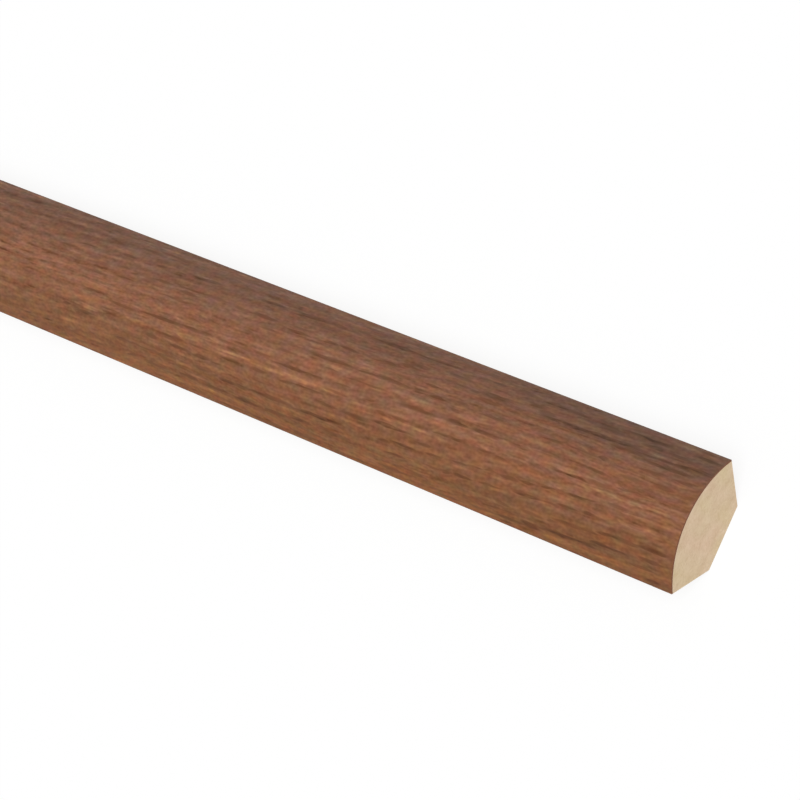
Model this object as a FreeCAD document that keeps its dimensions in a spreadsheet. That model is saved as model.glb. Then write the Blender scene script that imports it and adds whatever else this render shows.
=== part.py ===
# Quarter round moulding: a length of fibreboard stock with a wood-print laminate glued over its round face.
# Millimetres. X runs along the stock, +Z is up, and the stock lies on its back bevel with the round face on top.
# The origin is at the middle of the bevel, halfway along the stock.
import FreeCAD
import Part
import Sketcher
import math
import os

# Driving dimensions, as cells of the sheet: alias, value, what it measures.
DIMENSIONS = [
    ("stock_length", 2387.6, "length as sold, 94 in"),
    ("leg_width", 19.05, "each leg, from the missing square corner to the outside of the laminate, 3/4 in"),
    ("bevel_cut", 9.1, "taken off each leg by the 45 degree bevel on the back corner"),
    ("face_radius", 20.9, "radius of the round face, over the laminate"),
    ("laminate_thickness", 0.3, "the glued laminate"),
    ("leg_angle", 45.0, "slope of each leg above the bevel, degrees"),
]

# Expressions shared by both sections. The legs slope at 45 degrees, so a run along a leg is divided by sqrt(2).
BEVEL_WIDTH = "dims.bevel_cut * sqrt(2)"
EDGE_OUT = "dims.leg_width / sqrt(2)"
EDGE_UP = "(dims.leg_width - dims.bevel_cut) / sqrt(2)"
CENTRE_DOWN = f"sqrt(dims.face_radius ^ 2 - ({EDGE_OUT}) ^ 2) - {EDGE_UP}"
INNER_RADIUS = "dims.face_radius - dims.laminate_thickness"

# Numbers that a sketch uses for a geometry's points and for the sketch's own origin and axes.
START, END, CENTRE = 1, 2, 3
ORIGIN = (-1, 1)
HORIZONTAL_AXIS, VERTICAL_AXIS = -1, -2


def add_sheet(document):
    sheet = document.addObject("Spreadsheet::Sheet", "dims")
    for row, (alias, value, meaning) in enumerate(DIMENSIONS, start=1):
        sheet.set(f"A{row}", alias)
        sheet.set(f"B{row}", str(value))
        sheet.set(f"C{row}", meaning)
        sheet.setAlias(f"B{row}", alias)
    document.recompute()
    return sheet


def add_body(document, label):
    body = document.addObject("PartDesign::Body", label)
    body.Label = label
    return body


def add_section_sketch(body, name):
    # The section lies in the YZ plane: the sketch's own x is Y and its y is Z.
    plane = next(f for f in body.Origin.OriginFeatures if f.Role == "YZ_Plane")
    sketch = body.newObject("Sketcher::SketchObject", name)
    sketch.AttachmentSupport = [(plane, "")]
    sketch.MapMode = "FlatFace"
    return sketch


def bind(sketch, name, expression, kind, *places):
    # A dimension whose value follows the sheet. It starts at the size drawn, so nothing jumps when it is added.
    index = sketch.addConstraint(Sketcher.Constraint(kind, *places))
    sketch.renameConstraint(index, name)
    sketch.setExpression(f"Constraints.{name}", expression)


def join(sketch, *pairs):
    for first, first_point, second, second_point in pairs:
        sketch.addConstraint(Sketcher.Constraint("Coincident", first, first_point, second, second_point))


def mirror_about_middle(sketch, first, first_point, second, second_point):
    sketch.addConstraint(
        Sketcher.Constraint("Symmetric", first, first_point, second, second_point, VERTICAL_AXIS)
    )


def centre_arc(sketch, arc):
    mirror_about_middle(sketch, arc, START, arc, END)
    sketch.addConstraint(Sketcher.Constraint("PointOnObject", arc, CENTRE, VERTICAL_AXIS))


def section_points(sheet):
    # Where the section's corners fall, to draw the sketches close to their final shape.
    run = math.sqrt(2)
    edge_out = sheet.leg_width / run
    edge_up = (sheet.leg_width - sheet.bevel_cut) / run
    centre_down = math.sqrt(sheet.face_radius**2 - edge_out**2) - edge_up
    inner_radius = sheet.face_radius - sheet.laminate_thickness
    bevel_half = sheet.bevel_cut / run
    # On a leg, a point is (bevel_half + rise, rise). It meets the inner arc where its distance from the
    # arc's centre is the inner radius.
    half_sum = (bevel_half + centre_down) / 2
    half_gap = (bevel_half - centre_down) / 2
    rise = math.sqrt(inner_radius**2 / 2 - half_gap**2) - half_sum
    return {
        "bevel": FreeCAD.Vector(bevel_half, 0),
        "outer": FreeCAD.Vector(edge_out, edge_up),
        "inner": FreeCAD.Vector(bevel_half + rise, rise),
        "centre": FreeCAD.Vector(0, -centre_down),
    }


def mirrored(point):
    return FreeCAD.Vector(-point.x, point.y)


def arc_over_top(centre, right_end):
    # The arc from a right-hand point up over the top to its mirror image.
    radius = (right_end - centre).Length
    angle = math.atan2(right_end.y - centre.y, right_end.x)
    circle = Part.Circle(centre, FreeCAD.Vector(0, 0, 1), radius)
    return Part.ArcOfCircle(circle, angle, math.pi - angle)


def draw_core_section(sketch, sheet, points):
    right, left = points["inner"], mirrored(points["inner"])
    bevel_right, bevel_left = points["bevel"], mirrored(points["bevel"])
    bevel, wall_leg, face, floor_leg = sketch.addGeometry(
        [
            Part.LineSegment(bevel_left, bevel_right),
            Part.LineSegment(bevel_right, right),
            arc_over_top(points["centre"], right),
            Part.LineSegment(left, bevel_left),
        ]
    )
    join(
        sketch,
        (bevel, END, wall_leg, START),
        (wall_leg, END, face, START),
        (face, END, floor_leg, START),
        (floor_leg, END, bevel, START),
    )
    sketch.addConstraint(Sketcher.Constraint("PointOnObject", bevel, START, HORIZONTAL_AXIS))
    mirror_about_middle(sketch, bevel, START, bevel, END)
    centre_arc(sketch, face)
    bind(sketch, "bevel_width", BEVEL_WIDTH, "DistanceX", bevel, START, bevel, END, 2 * bevel_right.x)
    bind(sketch, "leg_slope", "dims.leg_angle", "Angle", wall_leg, math.radians(sheet.leg_angle))
    bind(sketch, "core_radius", INNER_RADIUS, "Radius", face, (right - points["centre"]).Length)
    bind(sketch, "centre_down", CENTRE_DOWN, "DistanceY", face, CENTRE, *ORIGIN, -points["centre"].y)


def draw_wrap_section(sketch, sheet, points):
    outer, inner = points["outer"], points["inner"]
    outside, floor_edge, inside, wall_edge = sketch.addGeometry(
        [
            arc_over_top(points["centre"], outer),
            Part.LineSegment(mirrored(outer), mirrored(inner)),
            arc_over_top(points["centre"], inner),
            Part.LineSegment(inner, outer),
        ]
    )
    join(
        sketch,
        (outside, END, floor_edge, START),
        (floor_edge, END, inside, END),
        (inside, START, wall_edge, START),
        (wall_edge, END, outside, START),
        (outside, CENTRE, inside, CENTRE),
    )
    centre_arc(sketch, outside)
    bind(sketch, "face_radius", "dims.face_radius", "Radius", outside, sheet.face_radius)
    bind(sketch, "glue_radius", INNER_RADIUS, "Radius", inside, (inner - points["centre"]).Length)
    bind(sketch, "edge_out", EDGE_OUT, "DistanceX", *ORIGIN, outside, START, outer.x)
    bind(sketch, "edge_up", EDGE_UP, "DistanceY", *ORIGIN, outside, START, outer.y)
    slope = math.radians(sheet.leg_angle)
    bind(sketch, "wall_trim", "dims.leg_angle", "Angle", wall_edge, slope)
    bind(sketch, "floor_trim", "-dims.leg_angle", "Angle", floor_edge, -slope)


def pad_along_stock(body, sketch, name):
    # Half of the stock on each side of the section.
    pad = body.newObject("PartDesign::Pad", name)
    pad.Profile = sketch
    pad.SideType = "Symmetric"
    pad.setExpression("Length", "dims.stock_length")
    sketch.Visibility = False
    return pad


def build_sub_part(document, sheet, label, draw_section):
    body = add_body(document, label)
    sketch = add_section_sketch(body, f"{label}_section")
    draw_section(sketch, sheet, section_points(sheet))
    document.recompute()
    pad_along_stock(body, sketch, f"{label}_length")
    document.recompute()
    return body


def check(document, bodies):
    for item in document.Objects:
        if "Invalid" in item.State or "Error" in item.State:
            raise RuntimeError(f"{item.Label} failed: {item.State}")
    for sketch in (item for item in document.Objects if item.TypeId == "Sketcher::SketchObject"):
        if sketch.solve() != 0 or not sketch.FullyConstrained:
            raise RuntimeError(f"{sketch.Label} isn't fully constrained")
    for body in bodies:
        if body.Shape.isNull() or not body.Shape.isValid() or len(body.Shape.Solids) != 1:
            raise RuntimeError(f"{body.Label} isn't one valid solid")


def main():
    document = FreeCAD.newDocument("quarter_round_moulding")
    sheet = add_sheet(document)
    bodies = [
        build_sub_part(document, sheet, "mdf_core", draw_core_section),
        build_sub_part(document, sheet, "laminate_wrap", draw_wrap_section),
    ]
    check(document, bodies)
    os.makedirs("parts", exist_ok=True)
    for body in bodies:
        body.Shape.exportStep(f"parts/{body.Label}.step")
        box = body.Shape.BoundBox
        print(
            f"{body.Label}: {box.XLength:.2f} x {box.YLength:.3f} x {box.ZLength:.3f} mm, "
            f"{body.Shape.Volume / 1000:.2f} cm3"
        )


main()
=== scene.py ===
# A length of quarter round moulding: a wood-print laminate glued over the round face of a fibreboard core.
import math

import bmesh
import bpy
from mathutils import Matrix, Vector, noise


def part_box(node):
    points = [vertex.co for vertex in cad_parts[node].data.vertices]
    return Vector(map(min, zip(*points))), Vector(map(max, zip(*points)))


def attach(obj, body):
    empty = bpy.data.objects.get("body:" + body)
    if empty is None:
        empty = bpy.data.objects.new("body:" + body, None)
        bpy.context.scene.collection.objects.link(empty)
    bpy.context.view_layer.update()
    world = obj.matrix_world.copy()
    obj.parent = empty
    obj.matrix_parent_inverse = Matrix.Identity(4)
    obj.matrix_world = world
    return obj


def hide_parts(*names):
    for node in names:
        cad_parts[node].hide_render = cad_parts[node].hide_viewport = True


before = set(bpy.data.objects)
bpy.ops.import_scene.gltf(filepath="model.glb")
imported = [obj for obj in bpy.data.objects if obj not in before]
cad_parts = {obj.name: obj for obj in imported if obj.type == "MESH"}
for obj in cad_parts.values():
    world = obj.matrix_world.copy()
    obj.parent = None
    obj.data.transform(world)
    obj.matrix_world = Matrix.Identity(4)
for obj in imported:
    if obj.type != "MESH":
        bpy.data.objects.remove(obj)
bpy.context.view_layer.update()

# The section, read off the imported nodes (metres). The legs rise at 45 degrees from the ends of the bevel.
millimetre = 0.001
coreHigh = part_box("mdf_core")[1]
wrapLow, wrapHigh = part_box("laminate_wrap")
halfLength = coreHigh.x
laminateThickness = wrapHigh.z - coreHigh.z
coreOut = coreHigh.y  # the core's edge under the laminate, from the middle
coreUp = wrapLow.z  # and its height
bevelHalf = coreOut - coreUp
edgeOut = wrapHigh.y  # the laminate's outer edge
edgeUp = edgeOut - bevelHalf
crown = wrapHigh.z - edgeUp  # rise of the round face over its edges
faceRadius = (edgeOut**2 + crown**2) / (2 * crown)
coreRadius = faceRadius - laminateThickness
arcCentre = wrapHigh.z - faceRadius  # height of the arcs' centre
print(f"section read: face radius {faceRadius / millimetre:.2f} mm")


def srgb(red, green, blue):
    channels = (red / 255, green / 255, blue / 255)
    return tuple(c / 12.92 if c <= 0.04045 else ((c + 0.055) / 1.055) ** 2.4 for c in channels) + (1.0,)


class Wire:  # a node's output, with arithmetic
    def __init__(self, finish, socket):
        self.finish, self.socket = finish, socket

    def __add__(self, other):
        return self.finish.maths("ADD", self, other)

    def __sub__(self, other):
        return self.finish.maths("SUBTRACT", self, other)

    def __rsub__(self, other):
        return self.finish.maths("SUBTRACT", other, self)

    def __mul__(self, other):
        return self.finish.maths("MULTIPLY", self, other)

    __radd__, __rmul__ = __add__, __mul__

    def limited(self, low, high):
        return self.finish.maths("MINIMUM", self.finish.maths("MAXIMUM", self, low), high)

    def ramp(self, low, high):  # 0 at low to 1 at high, eased
        sockets = {"Value": self, "From Min": low, "From Max": high}
        return self.finish.node("ShaderNodeMapRange", {"interpolation_type": "SMOOTHSTEP"}, sockets)

    def beside(self, output):  # another output of the same node
        return Wire(self.finish, self.socket.node.outputs[output])


class Finish:  # a material or world, and its nodes
    def __init__(self, holder):
        holder.use_nodes = True
        self.holder, self.tree = holder, holder.node_tree
        self.tree.nodes.clear()

    def node(self, kind, settings=None, sockets=None, output=0):
        made = self.tree.nodes.new(kind)
        for key, value in (settings or {}).items():
            if key == "stops":
                self.setStops(made.color_ramp.elements, value)
            else:
                setattr(made, key, value)
        for key, value in (sockets or {}).items():
            if isinstance(value, Wire):
                self.tree.links.new(value.socket, made.inputs[key])
            else:
                made.inputs[key].default_value = value
        return Wire(self, made.outputs[output]) if made.outputs else None

    def setStops(self, elements, colours):  # evenly spaced
        while len(elements) < len(colours):
            elements.new(0.5)
        for i, (element, colour) in enumerate(zip(elements, colours)):
            element.position, element.color = i / (len(colours) - 1), colour

    def maths(self, operation, *values):
        return self.node("ShaderNodeMath", {"operation": operation}, dict(enumerate(values)))

    def vectorMaths(self, operation, *values, output=0):
        return self.node("ShaderNodeVectorMath", {"operation": operation}, dict(enumerate(values)), output)

    def mix(self, factor, first, second, blend="MIX"):  # colours
        settings = {"data_type": "RGBA", "blend_type": blend}
        return self.node("ShaderNodeMix", settings, {0: factor, 6: first, 7: second}, 2)

    def tinted(self, amount, colour, tints):  # one tint where the amount is over 0, the other where under
        for sign, tint in zip((1, -1), tints):
            colour = self.mix((amount * sign).limited(0, 1), colour, tint + (1,), "MULTIPLY")
        return colour

    def vector(self, x, y, z=0.0):
        return self.node("ShaderNodeCombineXYZ", None, {0: x, 1: y, 2: z})

    def stretched(self, vector, sizes):  # in a pattern's own units, from its size along each axis
        scale = [1 / size for size in sizes] + [1.0] * (3 - len(sizes))
        return self.vectorMaths("MULTIPLY", vector, scale)

    def place(self):  # x, y and z on the object, in millimetres
        spot = self.stretched(self.node("ShaderNodeTexCoord").beside("Object"), [millimetre] * 3)
        parts = self.node("ShaderNodeSeparateXYZ", None, {0: spot})
        return [parts.beside(axis) for axis in range(3)]

    def cloud(self, vector, sizes, detail=0.0):  # noise about 0
        settings = {"noise_dimensions": f"{len(sizes)}D"}
        sockets = {"Vector": self.stretched(vector, sizes), "Scale": 1.0, "Detail": detail}
        return self.node("ShaderNodeTexNoise", settings, sockets) - 0.5

    def cells(self, vector, axes, randomness=1.0):  # distance from the middle of each cell
        sockets = {"Vector": vector, "Scale": 1.0, "Randomness": randomness}
        return self.node("ShaderNodeTexVoronoi", {"voronoi_dimensions": f"{axes}D"}, sockets)

    def solid(self, look, colour, roughness, height):
        bump = self.node("ShaderNodeBump", None, {"Distance": look["relief"], "Height": height})
        sockets = {"Base Color": colour, "Roughness": roughness, "Normal": bump}
        sockets["Specular IOR Level"] = look["specular"]
        return self.finished(self.node("ShaderNodeBsdfPrincipled", None, sockets))

    def finished(self, shader, kind="ShaderNodeOutputMaterial"):
        self.node(kind, None, {"Surface": shader})
        return self.holder


# Laminate: the printed face. Places on it are millimetres along it from the seen end, and across it from
# the crown towards the wall leg. Tones are steps about the middle colour, where minus is dark.

printLook = {
    "tones": [  # darkest first
        srgb(82, 42, 10),
        srgb(107, 65, 36),
        srgb(132, 85, 59),
        srgb(154, 105, 76),
        srgb(178, 125, 90),
    ],
    "contrast": 0.455,
    "level": 0.503,  # where tone 0 is, from the darkest at 0 to the lightest at 1
    "coolAndWarm": ((0.88, 1.05, 1.29), (1.13, 0.95, 0.75)),  # tints in patches, and how strong they are
    "warmPatches": 1.5,
    "warmBands": 0.9,
    "pinkAndGreen": ((1.06, 0.87, 1.13), (0.94, 1.14, 0.87)),
    "greenPatches": 1.45,
    "golden": 0.3,  # how far light streaks turn to the green
    "paintedSideShade": ((0.70, 0.75, 0.80), (0.79, 0.76, 0.53)),  # painted shade: the face darker and greyer towards the wall leg, darker and more golden towards the floor leg
    "paintedSideShadeReach": 11,
    "floorEdge": (1.035, 0.96, 0.85, 1),  # a golden tint beside the floor leg
    "floorEdgeAcross": (11.2, 13.0),
    "patch": (0.85, 0.89, 0.93, 1),  # a dark patch along the wall leg, near the seen end
    "patchAcross": (6.6, 8.4),
    "patchAlong": (30, 64),
    "patchRagged": (9.0, 3.0),
    "roughness": 0.5,
    "poreRoughness": 0.15,
    "streakGloss": 0.1,
    "specular": 0.25,
    "relief": 0.04 * millimetre,  # depth of a pore
    "dashRelief": 0.3,  # over that of a pore
    "fibreRelief": 0.4,
}
grainLook = {
    "lean": 0.03,  # climb to the wall leg, for each millimetre towards the seen end
    "slowWander": 4.0,  # millimetres from the straight
    "quickWander": 0.5,
    "ringSpacing": 3.2,  # millimetres between growth lines
    "ringDrift": 1.6,
    "ringBreaks": (2.5, 0.4),  # how sharply growth lines come and go, and how much of them shows
    "poresInStreaks": (0.8, 2.5),  # share of pores everywhere, and how they gather in dark streaks
    "placedUpTo": (150, 200),  # along the face, where the placed streaks give way to random ones
    "besidePlaced": (0.6, 0.72),  # share of fine and of coarse random marks among the placed streaks
    "poreShade": 0.08,  # darkening of the ground between the pores
    "lift": 0.14,  # makes up for the marks, most of which are dark
}
grainSize = {  # millimetres along and across the grain
    "slowWander": (90, 18),
    "quickWander": (25, 5),
    "ringDrift": (60, 4.0),
    "ringBreaks": (14, 2.4),
    "bands": (90, 1.5),
    "streaks": (24, 1.0),
    "dashes": (6.0, 0.8),
    "fibres": (2.1, 0.48),
    "grit": (0.9, 0.5),
    "warmPatches": (3.2, 1.6),
    "warmBands": (30, 1.3),
    "greenPatches": (2.6, 1.5),
}
grainShare = {  # of the tone
    "bands": 0.28,
    "streaks": 0.40,
    "dashes": 0.36,
    "rings": 0.30,
    "fibres": 0.55,
    "grit": 0.5,
    "pores": 0.55,
    "specks": 0.4,
    "glints": 0.3,
}
tickSize = {  # millimetres along and across, between ticks and of a tick; then a shift of the pattern
    "pores": ((8.0, 1.9), (3.0, 0.4), 0.0),
    "specks": ((4.5, 1.3), (1.9, 0.36), 31.3),
    "glints": ((10.0, 1.7), (4.5, 0.4), 57.7),
}
tickLook = {
    "scatter": 0.9,
    "range": 1.5,  # how much ticks differ in size
    "fade": (0.1, 1.0),  # from the middle to the rim
}
streakLook = {
    "dark": 1.9,
    "light": 1.6,
    "softEdge": 0.45,  # share of a streak from its rim to its middle that fades
    "overReach": (1.5, 1.85),  # length and width of a streak, over how far its rim is from its middle
    "raggedEnds": 3.0,  # millimetres, by the dashes
    "raggedSides": (0.35, 0.25),  # by the dashes and the fibres
    "darkBreaks": (1.8, 1.2),  # by the fibres and the grit
    "lightBreaks": 0.8,  # by the fibres
}
# Streaks that stand out near the seen end: along, across, length and width in millimetres, then tone.
streakList = [
    # the first 40 mm
    (31, 8.8, 24, 0.9, -0.9), (12, 8.8, 20, 0.8, -0.5), (4, 9.3, 9, 0.9, -0.6),
    (16.5, 12.1, 6, 0.9, -0.8), (22, 12.1, 7, 0.7, -0.5), (38, 11.6, 8, 0.8, -0.5),
    (28, 11.2, 5, 1.2, -0.4), (27, 10.6, 6, 0.7, -0.4), (16, 10.7, 6, 0.8, -0.7),
    (9.5, 10.7, 5, 0.7, -0.4), (3.5, 12.3, 6, 0.8, -0.6), (5.5, 13.8, 4, 0.8, -0.5),
    (20.5, 8.0, 7, 0.7, -0.6), (8.5, 7.6, 9, 0.8, -0.6), (13.2, 7.4, 4, 0.6, -0.4),
    (12.5, 5.7, 7, 0.7, -0.5), (4.3, 6.0, 4, 0.6, -0.5), (38, 4.5, 6, 0.8, -0.6),
    (29.5, 4.7, 7, 0.6, -0.4), (24.7, 4.9, 2.5, 0.9, -0.6), (8.2, 3.8, 4, 1.2, -0.4),
    (2, 3.8, 3, 0.7, -0.4), (16, 3.2, 7, 0.7, -0.3), (24, 2.1, 4, 0.7, -0.4), (38, 1.4, 5, 0.7, -0.4),
    (12.3, 0.9, 5, 0.7, -0.5), (17, 0.8, 3, 0.6, -0.4), (22, 0.0, 5, 0.7, -0.3),
    (28.2, -0.4, 5, 0.7, -0.9), (32.5, -0.5, 5, 0.6, -0.6), (16, -2.6, 5, 0.7, -0.5),
    (26, -3.7, 5, 0.7, -0.8), (22.5, -3.4, 3, 0.6, -0.4), (31, -3.9, 4, 0.6, -0.4),
    (34.3, -4.3, 3, 0.7, -0.5), (39, -4.8, 4, 0.7, -0.6), (11.3, -4.8, 4, 0.7, -0.6),
    (16, -5.3, 3, 0.6, -0.3), (22.4, -5.8, 3, 0.8, -0.6), (27.5, -6.3, 5, 0.7, -0.6),
    (38.7, -7.1, 7, 0.9, -0.8), (32, -6.8, 4, 0.5, -0.3), (5.5, -7.8, 7, 0.8, -0.7),
    (12, -8.2, 6, 0.8, -0.6), (17, -8.3, 6, 0.8, -0.8), (21.3, -9.0, 4, 0.7, -0.5),
    (27, -9.3, 7, 0.7, -0.5), (5, -9.9, 5, 0.8, -0.5), (32, -9.9, 3, 0.6, -0.4),
    (36.8, -10.2, 5, 0.7, -0.5), (13.5, -10.6, 5, 0.8, -0.6), (18.3, -10.6, 5, 0.8, -0.7),
    (8, -11.7, 6, 0.7, -0.5), (22, -11.7, 4, 0.7, -0.6), (28, -11.9, 9, 0.9, -0.8),
    (37, -12.6, 4, 1.2, -0.7), (4.3, -13.7, 5, 0.8, -0.7), (14, -1.0, 30, 0.9, 0.7),
    (33, 0.2, 16, 0.8, 0.4), (7, -4.5, 7, 0.8, 0.4), (30, -4.7, 6, 0.6, 0.3),
    (27, -13.1, 10, 1.2, 0.35), (16, -12.9, 6, 1.0, 0.4),
    # 40 to 80 mm
    (43, 11.7, 6, 0.9, -0.7), (51, 11.8, 5, 0.9, -0.6), (46.5, 9.8, 4, 0.9, -0.6),
    (43, 9.2, 4, 1.2, -0.5), (51.5, 8.8, 6, 0.8, -0.4), (56.4, 8.4, 7, 1.2, -0.6),
    (58, 7.0, 5, 1.0, -0.5), (50, 6.9, 3, 0.6, -0.4), (58, 11.5, 3, 0.6, -0.4),
    (62.5, 11.5, 4, 0.8, -0.4), (76, 11.3, 12, 0.8, -0.6), (67, 9.6, 5, 0.8, -0.4),
    (66.8, 8.1, 6, 0.7, -0.6), (61.8, 8.0, 3, 0.7, -0.5), (76.5, 7.0, 4, 0.8, -0.5),
    (80, 7.8, 6, 0.8, -0.5), (71.6, 5.8, 4, 0.7, -0.6), (80, 5.4, 4, 0.6, -0.4),
    (63, 4.7, 3, 0.7, -0.3), (54.5, 4.3, 6, 0.6, -0.4), (69.5, 3.9, 5, 0.6, -0.5),
    (74.5, 3.7, 4, 0.8, -0.6), (79.3, 3.7, 4, 0.6, -0.4), (63.5, 2.9, 3, 0.7, -0.6),
    (55, 2.4, 6, 0.6, -0.4), (61.7, 0.7, 5, 0.9, -0.7), (53.7, 0.9, 8, 0.8, -0.7),
    (44, 1.0, 6, 0.7, -0.6), (72, 0.3, 10, 1.0, -0.4), (61.8, -2.3, 9, 0.6, -0.7),
    (52.5, -2.2, 4, 0.6, -0.5), (47.5, -2.4, 3, 0.6, -0.4), (76.5, -2.6, 5, 0.7, -0.5),
    (81, -2.9, 3, 0.7, -0.5), (77.5, -4.8, 11, 0.9, -0.9), (68, -5.5, 5, 0.7, -0.4),
    (44.3, -5.3, 5, 0.7, -0.5), (49, -5.4, 3, 0.5, -0.4), (52.8, -5.8, 4, 0.6, -0.5),
    (57, -6.3, 5, 0.6, -0.5), (64.8, -6.8, 4, 0.7, -0.6), (79.3, -7.8, 4, 0.8, -0.6),
    (73.5, -7.3, 6, 0.7, -0.7), (48.5, -8.1, 6, 0.7, -0.5), (55.8, -8.6, 4, 0.8, -0.7),
    (61, -9.0, 3, 0.7, -0.5), (65, -9.1, 3, 0.5, -0.4), (75.3, -9.8, 6, 0.8, -0.7),
    (50, -11.2, 3, 0.8, -0.4), (44.5, -10.6, 3, 0.6, -0.4), (45, -11.9, 7, 0.6, -0.4),
    (42.5, -13.1, 6, 0.7, -0.6), (60, -13.9, 10, 0.7, -0.5), (69.5, -11.9, 4, 0.8, -0.4),
    (77.5, -12.8, 6, 0.7, -0.4), (75, 2.0, 13, 0.9, 0.5), (71, 4.7, 11, 0.7, 0.4),
    (64, -0.8, 13, 0.9, 0.35), (43, -1.1, 7, 1.0, 0.4), (52.5, -1.5, 3, 0.8, 0.4),
    (75, -3.5, 19, 0.9, 0.75), (62, -12.6, 5, 0.9, 0.4),
    # 80 to 120 mm
    (87.5, 11.1, 12, 0.9, -0.8), (96.5, 11.2, 4, 0.7, -0.4), (103.5, 10.6, 4, 0.7, -0.4),
    (112, 10.3, 10, 0.9, -0.8), (117.5, 10.3, 3, 0.9, -0.4), (93.7, 7.8, 4, 0.6, -0.4),
    (85, 6.9, 3, 0.9, -0.5), (89, 6.6, 4, 0.5, -0.4), (97, 6.5, 4, 0.7, -0.5), (103, 6.4, 5, 0.8, -0.6),
    (111, 6.9, 6, 0.7, -0.4), (112, 5.9, 6, 0.6, -0.5), (119.5, 4.2, 5, 0.7, -0.5),
    (106, 4.2, 4, 0.6, -0.4), (83, 3.8, 6, 0.7, -0.5), (89, 3.4, 7, 0.6, -0.5),
    (100, 3.2, 12, 1.0, -0.6), (110.3, 3.0, 4, 0.6, -0.4), (88, 1.2, 11, 0.6, -0.5),
    (98, 1.3, 3, 0.5, -0.4), (112, 1.4, 5, 0.8, -0.4), (108.5, -1.3, 11, 0.8, -0.7),
    (117.8, -1.0, 5, 0.8, -0.4), (101.3, -1.1, 3, 0.8, -0.4), (85.5, -1.4, 4, 0.7, -0.5),
    (94, -0.7, 4, 0.6, -0.4), (95.5, -2.5, 7, 0.5, -0.5), (102.5, -4.0, 8, 0.6, -0.6),
    (109.5, -4.4, 4, 0.8, -0.5), (118, -4.3, 6, 0.7, -0.5), (96.5, -5.6, 6, 0.8, -0.5),
    (88, -5.5, 8, 0.9, -0.5), (106.5, -6.2, 4, 0.9, -0.3), (116, -6.2, 6, 0.8, -0.4),
    (99, -8.5, 14, 0.8, -0.8), (112.5, -8.6, 10, 1.0, -0.5), (103.5, -10.8, 6, 0.8, -0.8),
    (95, -10.7, 5, 0.9, -0.5), (111, -11.2, 6, 0.7, -0.4), (120, -11.5, 6, 0.8, -0.6),
    (113, -13.9, 9, 0.6, -0.4), (126, -3.2, 10, 0.8, 0.9), (109, -3.1, 24, 0.9, 0.6),
    (108, 4.9, 20, 0.7, 0.3), (91, 4.2, 12, 0.5, 0.4), (97, 1.9, 12, 0.9, 0.4), (91, -6.9, 8, 0.7, 0.4),
    (82.5, -12.8, 4, 1.2, 0.4),
    # 120 to 190 mm
    (134, 12.9, 13, 0.8, -0.4), (123, 9.9, 8, 0.9, -0.7), (143.5, 9.4, 10, 0.9, -0.7),
    (158.5, 8.5, 3, 0.8, -0.6), (152.5, 8.7, 3, 0.8, -0.4), (123, 6.4, 8, 0.8, -0.6),
    (129.5, 6.2, 5, 0.6, -0.5), (137, 6.3, 6, 0.6, -0.4), (145, 6.0, 8, 0.7, -0.5),
    (146, 5.0, 5, 0.7, -0.5), (155, 5.5, 6, 0.7, -0.4), (158.5, 4.6, 4, 1.3, -0.4),
    (148, 3.1, 11, 0.7, -0.5), (125, 2.3, 3, 0.6, -0.4), (158, 2.2, 5, 0.7, -0.4),
    (141.5, 0.3, 5, 0.5, -0.4), (148.5, -0.7, 4, 0.6, -0.4), (129, -1.5, 5, 0.7, -0.5),
    (138.5, -1.5, 8, 0.8, -0.5), (123.5, -1.2, 4, 0.6, -0.4), (150, -1.9, 11, 0.7, -0.6),
    (127, -4.4, 6, 0.8, -0.5), (136.5, -4.5, 6, 0.6, -0.5), (144.5, -4.6, 6, 0.6, -0.5),
    (135.7, -6.2, 6, 0.8, -0.7), (142, -6.2, 5, 0.8, -0.6), (130.5, -6.3, 3, 0.6, -0.5),
    (151.5, -6.1, 4, 0.9, -0.5), (133.5, -8.4, 5, 1.2, -0.4), (126.4, -8.9, 4, 0.8, -0.7),
    (122, -8.9, 4, 0.6, -0.5), (153, -9.1, 9, 0.7, -0.5), (160.5, -9.2, 5, 0.7, -0.5),
    (146, -9.2, 5, 1.2, -0.4), (130, -11.4, 8, 0.7, -0.5), (138, -11.2, 5, 0.6, -0.4),
    (149.5, -11.7, 6, 0.7, -0.5), (157.5, -11.6, 4, 0.7, -0.4), (139.5, -3.3, 15, 1.0, 0.5),
    (157, -4.3, 8, 0.8, 0.5), (140.5, 1.6, 9, 0.7, 0.4), (132, 4.6, 9, 0.6, 0.4),
    (139.5, -7.2, 6, 0.7, 0.4), (133, -12.3, 7, 1.0, 0.4), (143, -12.9, 8, 1.0, 0.4),
    (154, 12.0, 6, 1.0, -0.4), (163, 11.1, 6, 0.8, -0.4), (168.7, 8.1, 4, 0.7, -0.6),
    (181.5, 7.1, 5, 0.6, -0.6), (186.5, 5.4, 6, 0.6, -0.5), (167.5, 5.1, 4, 0.7, -0.4),
    (178, 4.8, 3, 0.7, -0.4), (174.5, 4.3, 4, 1.0, -0.4), (166, 3.1, 7, 0.6, -0.5),
    (176, 2.1, 8, 0.6, -0.4), (171.5, 1.2, 5, 0.6, -0.4), (173, -1.7, 8, 0.6, -0.5),
    (162, -2.5, 7, 0.7, -0.5), (166.5, -4.2, 6, 0.5, -0.5), (176.5, -4.8, 5, 0.6, -0.4),
    (173.5, -6.8, 7, 0.7, -0.5), (180, -6.4, 3, 0.8, -0.6), (162, -8.9, 6, 0.6, -0.4),
    (175.5, -11.9, 4, 0.8, -0.4), (172, 2.9, 8, 0.6, 0.4), (169, 0.3, 7, 0.5, 0.4),
    (172.5, -5.4, 11, 0.9, 0.9),
]


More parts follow.
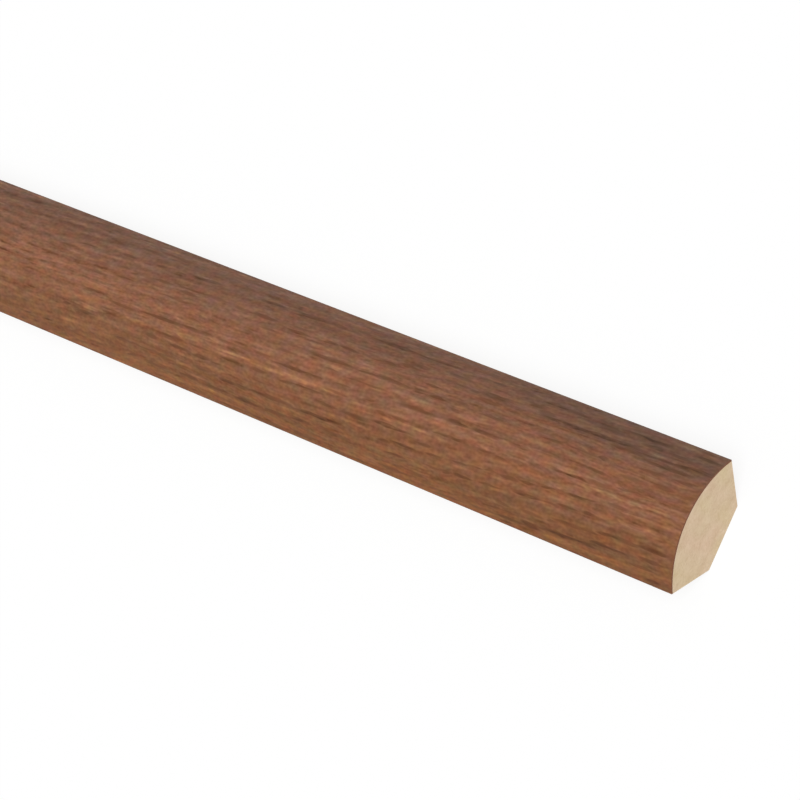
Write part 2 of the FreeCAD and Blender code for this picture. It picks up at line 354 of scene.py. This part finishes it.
def placedStreaks(finish, spot, streaks, strength):  # each a spindle with an even middle and soft edges
    lengths, widths = streakLook["overReach"]
    turn = (0, 0, -grainLook["lean"])
    total = 0.0
    for along, across, length, width, tone in streaks:
        sockets = {"Vector": spot, "Location": (along, across, 0), "Rotation": turn}
        sockets["Scale"] = (length / lengths, width / widths, 1)
        near = finish.node("ShaderNodeMapping", {"vector_type": "TEXTURE"}, sockets)
        slope = finish.node("ShaderNodeTexGradient", {"gradient_type": "SPHERICAL"}, {"Vector": near}, 1)
        body = finish.maths("MINIMUM", slope, streakLook["softEdge"])
        total = finish.maths("MULTIPLY_ADD", body, tone * strength, total)
    return total


def ticks(finish, grain, kind):  # short spindles along the grain, one to a cell and each its own strength
    spacing, size, shift = tickSize[kind]
    look = tickLook
    spot = finish.vectorMaths("ADD", finish.stretched(grain, spacing), (shift, shift, 0))
    cell = finish.cells(spot, 2, look["scatter"])
    away = finish.vectorMaths("SUBTRACT", spot, cell.beside("Position"))
    away = finish.stretched(away, [s / p for s, p in zip(size, spacing)])
    away = finish.vectorMaths("LENGTH", away, output=1)
    own = finish.node("ShaderNodeSeparateColor", None, {0: cell.beside("Color")})
    return (1 - (away * (look["range"] - own)).ramp(*look["fade"])) * own.beside(1)


def grainPatterns(finish, along, across):  # the grain leans, and wanders a little from the straight
    look, size = grainLook, grainSize
    flat = finish.vector(along, across)
    wander = finish.cloud(flat, size["slowWander"]) * look["slowWander"]
    wander = wander + finish.cloud(flat, size["quickWander"]) * look["quickWander"]
    course = across + along * look["lean"] + wander
    grain = finish.vector(along, course)
    names = ("bands", "streaks", "dashes", "fibres", "grit")
    patterns = {name: finish.cloud(grain, size[name]) for name in names}
    drift = finish.cloud(flat, size["ringDrift"]) * look["ringDrift"]
    rings = finish.maths("SINE", (course + drift) * (2 * math.pi / look["ringSpacing"]))
    sharpness, shown = look["ringBreaks"]
    breaks = finish.cloud(grain, size["ringBreaks"]) * sharpness + shown
    patterns["rings"] = rings * breaks.limited(0, 1)
    patterns.update((kind, ticks(finish, grain, kind)) for kind in tickSize)
    everywhere, gathered = look["poresInStreaks"]
    patterns["pores"] = patterns["pores"] * (everywhere - patterns["streaks"] * gathered)
    return grain, patterns


def printTintsAndSideShade(finish, colour, along, across, grain, dashes, lightStreaks):
    look, size = printLook, grainSize
    cool = finish.cloud(grain, size["warmPatches"]) * look["warmPatches"]
    cool = cool + finish.cloud(grain, size["warmBands"]) * look["warmBands"]
    colour = finish.tinted(cool, colour, look["coolAndWarm"])
    pink = finish.cloud(grain, size["greenPatches"]) * look["greenPatches"]
    colour = finish.tinted(pink - lightStreaks * look["golden"], colour, look["pinkAndGreen"])
    # painted shade: the round face darkened towards the wall leg and the floor leg
    colour = finish.tinted(across * (1 / look["paintedSideShadeReach"]), colour, look["paintedSideShade"])
    floorEdge = (across * -1).ramp(*look["floorEdgeAcross"])
    colour = finish.mix(floorEdge, colour, look["floorEdge"], "MULTIPLY")
    raggedAlong, raggedAcross = look["patchRagged"]
    patch = (across + dashes * raggedAcross).ramp(*look["patchAcross"])
    patch = patch * (1 - (along + dashes * raggedAlong).ramp(*look["patchAlong"]))
    return finish.mix(patch, colour, look["patch"], "MULTIPLY")


def woodPrint():
    look, share, streak = printLook, grainShare, streakLook
    finish = Finish(bpy.data.materials.new("woodPrint"))
    x, y, z = finish.place()
    along = halfLength / millimetre - x
    across = finish.maths("ARCTAN2", y, z - arcCentre / millimetre) * (faceRadius / millimetre)
    grain, patterns = grainPatterns(finish, along, across)
    streaks, dashes, fibres, grit = (patterns[name] for name in ("streaks", "dashes", "fibres", "grit"))

    # the placed streaks, with ragged outlines, broken up by fibres
    byDashes, byFibres = streak["raggedSides"]
    sideways = across + dashes * byDashes + fibres * byFibres
    ragged = finish.vector(along + dashes * streak["raggedEnds"], sideways)
    light = placedStreaks(finish, ragged, [s for s in streakList if s[-1] > 0], streak["light"])
    light = light * (fibres * streak["lightBreaks"] + 1.0)
    dark = placedStreaks(finish, ragged, [s for s in streakList if s[-1] < 0], streak["dark"])
    byFibres, byGrit = streak["darkBreaks"]
    dark = dark * (fibres * byFibres + grit * byGrit + 1.0)

    # the random grain, fainter among the placed streaks
    past = along.ramp(*grainLook["placedUpTo"])
    fineShare, coarseShare = (past * (1 - among) + among for among in grainLook["besidePlaced"])
    pores, specks, glints = (patterns[name] for name in ("pores", "specks", "glints"))
    glow = glints * share["glints"]
    flecks = glow - pores * share["pores"] - specks * share["specks"] - grainLook["poreShade"]
    flecks = flecks * fineShare + glow
    coarse = patterns["bands"] * share["bands"] + streaks * share["streaks"]
    coarse = coarse + dashes * share["dashes"] + patterns["rings"] * share["rings"]
    fine = fibres * share["fibres"] + grit * share["grit"]
    tone = coarse * coarseShare + fine + dark + light + flecks + grainLook["lift"]

    level = tone * look["contrast"] + look["level"]
    colour = finish.node("ShaderNodeValToRGB", {"stops": look["tones"]}, {0: level})
    colour = printTintsAndSideShade(finish, colour, along, across, grain, dashes, light)
    roughness = look["roughness"] + pores * look["poreRoughness"] - streaks * look["streakGloss"]
    height = dashes * look["dashRelief"] + fibres * look["fibreRelief"] - pores - specks
    return finish.solid(look, colour, roughness, height)


edgeLook = {
    "dark": srgb(100, 60, 43),
    "pale": srgb(132, 86, 63),
    "plySize": (1.2, 0.12, 0.12),  # millimetres
    "plyDetail": 1.0,
    "plyContrast": 1.5,
    "roughness": 0.7,
    "specular": 0.3,
    "relief": 0.02 * millimetre,
}


def laminateEdge():  # the cut edge, where the paper under the print shows
    look = edgeLook
    finish = Finish(bpy.data.materials.new("laminateCutEdge"))
    plies = finish.cloud(finish.vector(*finish.place()), look["plySize"], look["plyDetail"])
    shade = (plies * look["plyContrast"] + 0.5).limited(0, 1)
    colour = finish.mix(shade, look["dark"], look["pale"])
    return finish.solid(look, colour, look["roughness"], plies)


# Core: fibreboard. Sizes are in millimetres.

boardLook = {
    "shades": [srgb(196, 169, 136), srgb(212, 188, 157), srgb(224, 203, 175)],  # darkest first
    "mottleSize": (3.0, 3.0, 1.6),
    "mottle": 0.8,
    "fibreSize": (0.9, 0.5, 0.22),
    "fibres": 0.9,
    "detail": 2.0,
    "fleck": srgb(172, 140, 106),
    "fleckSize": (1.4, 1.0, 0.5),
    "fleckFade": (0.1, 0.3),
    "fleckChoice": (0.7, 0.95),  # most cells have none
    "flecks": 0.35,
    "pinkAndGreen": ((1.03, 0.97, 1.02), (0.98, 1.015, 0.92)),  # tints in wide patches
    "tintSize": (4.5, 4.5, 4.5),
    "tint": 2.6,
    "ripplePitch": 1.6,
    "ripple": 0.12,
    "roughness": 0.85,
    "fibreRoughness": 0.2,
    "specular": 0.2,
    "relief": 0.05 * millimetre,  # of the fibres
    "mottleRelief": 0.5,
}


def fibreboard(name, knifeMarks):
    look = boardLook
    finish = Finish(bpy.data.materials.new(name))
    x, y, z = finish.place()
    spot = finish.vector(x, y, z)
    mottle = finish.cloud(spot, look["mottleSize"], look["detail"])
    fibres = finish.cloud(spot, look["fibreSize"], look["detail"])
    shade = mottle * look["mottle"] + fibres * look["fibres"] + 0.5
    colour = finish.node("ShaderNodeValToRGB", {"stops": look["shades"]}, {0: shade})
    cell = finish.cells(finish.stretched(spot, look["fleckSize"]), 3)
    chosen = finish.node("ShaderNodeSeparateColor", None, {0: cell.beside("Color")})
    fleck = (1 - cell.ramp(*look["fleckFade"])) * chosen.ramp(*look["fleckChoice"])
    colour = finish.mix(fleck * look["flecks"], colour, look["fleck"])
    pink = finish.cloud(spot, look["tintSize"]) * look["tint"]
    colour = finish.tinted(pink, colour, look["pinkAndGreen"])
    height = fibres + mottle * look["mottleRelief"]
    if knifeMarks:  # ripples that a spinning cutter leaves across the stock
        height = height + finish.maths("SINE", x * (2 * math.pi / look["ripplePitch"])) * look["ripple"]
    roughness = look["roughness"] + fibres * look["fibreRoughness"]
    return finish.solid(look, colour, roughness, height)


# Shapes. Each surface is a sheet of faces, and the sheets of a piece are welded along their edges.

stock = {
    "rows": 8,  # stretches along the stock, laid one over another on the bake map
    "stepsPerRow": 6,
    "stepsAcross": 72,
    "legSteps": 20,
    "bevelSteps": 24,
    "endSteps": 16,
    "cornerEase": 0.1 * millimetre,
    "sawMarks": 0.03 * millimetre,
    "sawMarksPerMetre": 900,
    "endShift": 5.0,  # keeps the ends' saw marks apart
    "sharpAngle": 34,  # degrees, over which an edge isn't smoothed
    "weldGap": 1e-7,
}
# Where the sheets lie on the bake map, in pixels: a strip is its bottom and its height.
mapSize = 1024
mapMargin = 2
mapWidth = mapSize - 2 * mapMargin
wrapMap = {
    "rowPitch": 119,
    "rowHeight": 116,
    "wallTrim": (956, 6),
    "floorTrim": (966, 6),
    "glued": (976, 16),
    "ends": (998, 8),
    "tips": (1012, 4),
    "endPitch": 512,
    "endWidth": 500,
    "tipWidth": 20,
}
coreMap = {
    "rowPitch": 111,
    "rowHeight": 108,
    "ends": (894, 86),
    "glued": (986, 16),
    "endPitch": 258,
    "endWidth": 200,
}


class Skin:
    def __init__(self):
        self.mesh = bmesh.new()
        self.map = self.mesh.loops.layers.uv.new("OFBake")

    def sheet(self, lines, left, wide, strip, material):  # lines of points, laid in a strip of the map
        grid = [[self.mesh.verts.new(point) for point in line] for line in lines]
        bottom, high = strip
        rows, columns = len(grid) - 1, len(grid[0]) - 1
        for i in range(rows):
            for j in range(columns):
                spots = [(i, j), (i, j + 1), (i + 1, j + 1), (i + 1, j)]
                face = self.mesh.faces.new([grid[a][b] for a, b in spots])
                face.material_index = material
                face.smooth = True
                for loop, (a, b) in zip(face.loops, spots):
                    u = (left + wide * b / columns) / mapSize
                    v = (bottom + high * a / rows) / mapSize
                    loop[self.map].uv = (u, v)

    def piece(self, name, materials):
        bmesh.ops.remove_doubles(self.mesh, verts=self.mesh.verts, dist=stock["weldGap"])
        bmesh.ops.recalc_face_normals(self.mesh, faces=self.mesh.faces)
        if self.mesh.calc_volume(signed=True) < 0:  # inside out
            bmesh.ops.reverse_faces(self.mesh, faces=self.mesh.faces)
        data = bpy.data.meshes.new(name)
        self.mesh.to_mesh(data)
        self.mesh.free()
        data.set_sharp_from_angle(angle=math.radians(stock["sharpAngle"]))
        for material in materials:
            data.materials.append(material)
        made = bpy.data.objects.new(name, data)
        bpy.context.scene.collection.objects.link(made)
        return made


def between(first, last, steps):
    return [first + (last - first) * i / steps for i in range(steps + 1)]


def arc(radius, reach, steps):  # from the floor leg over the crown to the wall leg, as (y, z)
    return [(radius * math.sin(a), arcCentre + radius * math.cos(a)) for a in between(-reach, reach, steps)]


def eased(before, corner, after, steps=4):  # a rounded corner
    curve = []
    for t in between(0.0, 1.0, steps):
        shares = ((1 - t) ** 2, 2 * t * (1 - t), t**2)
        curve.append(tuple(sum(s * p for s, p in zip(shares, axis)) for axis in zip(before, corner, after)))
    return curve


def line(first, last, steps):
    return [tuple(a + (b - a) * t for a, b in zip(first, last)) for t in between(0.0, 1.0, steps)]


def mirrored(points):  # the floor leg's side, from the wall leg's
    return [(-y, z) for y, z in reversed(points)]


def stretches():  # rows of the stock, each with its stations, and its left side and width in a shared strip
    rows = stock["rows"]
    length, wide = 2 * halfLength / rows, mapWidth / rows
    for row in range(rows):
        start = row * length - halfLength
        yield row, between(start, start + length, stock["stepsPerRow"]), mapMargin + wide * row, wide


def rowStrip(layout, row):
    return mapMargin + layout["rowPitch"] * row, layout["rowHeight"]


def alongStock(stations, section):
    return [[(x, y, z) for x in stations] for y, z in section]


def stockEnds(layout):  # the far end and the seen end: which way it faces, and its left side on the map
    return [(-1, mapMargin), (1, mapMargin + layout["endPitch"])]


def makeWrap():
    skin = Skin()
    layout = wrapMap
    ease = stock["cornerEase"]
    down = ease / math.sqrt(2)
    face = arc(faceRadius, math.asin(edgeOut / faceRadius) - ease / faceRadius, stock["stepsAcross"])
    glued = arc(coreRadius, math.asin(coreOut / coreRadius), stock["stepsAcross"])
    trim = eased(face[-1], (edgeOut, edgeUp), (edgeOut - down, edgeUp - down)) + [glued[-1]]
    for row, stations, left, wide in stretches():
        skin.sheet(alongStock(stations, face), mapMargin, mapWidth, rowStrip(layout, row), 0)
        skin.sheet(alongStock(stations, trim), left, wide, layout["wallTrim"], 1)
        skin.sheet(alongStock(stations, mirrored(trim)), left, wide, layout["floorTrim"], 1)
        skin.sheet(alongStock(stations, glued), left, wide, layout["glued"], 1)
    for side, left in stockEnds(layout):
        x = side * halfLength
        outer = [(x, y, z) for y, z in face]
        inner = [(x, y, z) for y, z in glued]
        skin.sheet([inner, outer], left, layout["endWidth"], layout["ends"], 1)
        for flip in (-1, 1):  # the eased tips of the cut edge
            points = [(x, flip * y, z) for y, z in trim]
            fan = [points[:-1], [points[-1]] * (len(points) - 1)]
            skin.sheet(fan, left, layout["tipWidth"], layout["tips"], 1)
    return skin.piece("laminateWrap", [woodPrint(), laminateEdge()])


def coreBacks():  # from the floor leg's edge round to the wall leg's
    ease = stock["cornerEase"]
    down = ease / math.sqrt(2)
    corner = eased((bevelHalf - ease, 0.0), (bevelHalf, 0.0), (bevelHalf + down, down))
    wallSide = corner + line(corner[-1], (coreOut, coreUp), stock["legSteps"])[1:]
    bevel = line((ease - bevelHalf, 0.0), (bevelHalf - ease, 0.0), stock["bevelSteps"])
    return mirrored(wallSide) + bevel[1:] + wallSide[1:]


def sawnEnd(side, backs, glued):  # lines from the backs up to the round face, lightly sawn inside the rim
    scale = stock["sawMarksPerMetre"]
    lines = []
    for t in between(0.0, 1.0, stock["endSteps"]):
        cut = []
        for (y0, z0), (y1, z1) in zip(backs, glued):
            y, z = y0 + (y1 - y0) * t, z0 + (z1 - z0) * t
            rough = 0.5 + 0.5 * noise.noise(Vector((y * scale, z * scale, side * stock["endShift"])))
            depth = stock["sawMarks"] * rough if 0 < t < 1 else 0.0
            cut.append((side * (halfLength - depth), y, z))
        lines.append(cut)
    return lines


def makeCore():
    skin = Skin()
    layout = coreMap
    backs = coreBacks()
    glued = arc(coreRadius, math.asin(coreOut / coreRadius), len(backs) - 1)
    for row, stations, left, wide in stretches():
        skin.sheet(alongStock(stations, backs), mapMargin, mapWidth, rowStrip(layout, row), 1)
        skin.sheet(alongStock(stations, glued), left, wide, layout["glued"], 1)
    for side, left in stockEnds(layout):
        skin.sheet(sawnEnd(side, backs, glued), left, layout["endWidth"], layout["ends"], 0)
    return skin.piece("mdfCore", [fibreboard("sawnBoard", False), fibreboard("milledBoard", True)])


wrap = makeWrap()
core = makeCore()
for piece, node, slot in ((wrap, "laminate_wrap", "laminate"), (core, "mdf_core", "fibreboard")):
    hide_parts(node)
    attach(piece, "root")
    print(f"{piece.name}: {len(piece.data.polygons)} faces")


# Studio: a pale floor, a white surround and one broad soft lamp

studio = {
    "surround": 0.35,  # light from all round, for shading only
    "lampFrom": (0.62, -0.15, 0.77),
    "lampAngle": 50,
    "floorSize": 60.0,
    "floorDrop": 0.01 * millimetre,  # keeps the floor off the face that lies on it
    "floorShade": 0.45,
    "floorGlow": 0.85,
}
camera = {
    "lookAt": (1.114043, 0.000886, 0.010),
    "distance": 0.780892,
    "azimuth": 86.4376,
    "elevation": 46.1191,
    "roll": -63.2487,
    "lens": 179.8137,
    "sensor": 36.0,
    "farthest": 200.0,
}


def grey(level):
    return (level, level, level, 1)


def seenDirectly(finish):  # 1 for what the camera sees, also in a reflection or through glass
    path = finish.node("ShaderNodeLightPath")
    bounced = finish.maths("MAXIMUM", path.beside("Is Glossy Ray"), path.beside("Is Transmission Ray"))
    return finish.maths("MAXIMUM", path.beside("Is Camera Ray"), bounced)


def makeFloor():
    half, z = studio["floorSize"] / 2, -studio["floorDrop"]
    corners = [(-half, -half, z), (half, -half, z), (half, half, z), (-half, half, z)]
    data = bpy.data.meshes.new("floor")
    data.from_pydata(corners, [], [(0, 1, 2, 3)])
    finish = Finish(bpy.data.materials.new("paleFloor"))
    plain = finish.node("ShaderNodeBsdfDiffuse", None, {"Color": grey(studio["floorShade"])})
    lit = finish.node("ShaderNodeBsdfDiffuse", None, {"Color": grey(1 - studio["floorGlow"])})
    glow = finish.node("ShaderNodeEmission", None, {"Strength": studio["floorGlow"]})
    white = finish.node("ShaderNodeAddShader", None, {0: lit, 1: glow})
    seen = finish.node("ShaderNodeMixShader", None, {0: seenDirectly(finish), 1: plain, 2: white})
    data.materials.append(finish.finished(seen))
    floor = bpy.data.objects.new("floor", data)
    bpy.context.scene.collection.objects.link(floor)


def makeSurround():
    world = bpy.data.worlds.new("surround")
    bpy.context.scene.world = world
    finish = Finish(world)
    colour = finish.mix(seenDirectly(finish), grey(studio["surround"]), grey(1))
    finish.finished(finish.node("ShaderNodeBackground", None, {"Color": colour}), "ShaderNodeOutputWorld")


def makeLamp():
    lamp = bpy.data.lights.new("broadLamp", "SUN")
    towards = Vector(studio["lampFrom"]).normalized()
    lamp.energy = math.pi * (1 - studio["surround"]) / towards.z
    lamp.angle = math.radians(studio["lampAngle"])
    holder = bpy.data.objects.new("broadLamp", lamp)
    holder.rotation_euler = towards.to_track_quat("Z", "Y").to_euler()
    bpy.context.scene.collection.objects.link(holder)


def makeCamera():
    turn, tilt, roll = (math.radians(camera[key]) for key in ("azimuth", "elevation", "roll"))
    back = Vector((math.sin(turn) * math.cos(tilt), -math.cos(turn) * math.cos(tilt), math.sin(tilt)))
    level = Vector((math.cos(turn), math.sin(turn), 0))
    right = level * math.cos(roll) + back.cross(level) * math.sin(roll)
    data = bpy.data.cameras.new("camera")
    data.lens, data.sensor_width = camera["lens"], camera["sensor"]
    data.clip_end = camera["farthest"]
    holder = bpy.data.objects.new("camera", data)
    pose = Matrix((right, back.cross(right), back)).transposed().to_4x4()
    pose.translation = Vector(camera["lookAt"]) + back * camera["distance"]
    holder.matrix_world = pose
    bpy.context.scene.collection.objects.link(holder)
    bpy.context.scene.camera = holder


makeFloor()
makeSurround()
makeLamp()
makeCamera()
bpy.context.scene.view_settings.view_transform = "Standard"
print("studio and camera set")
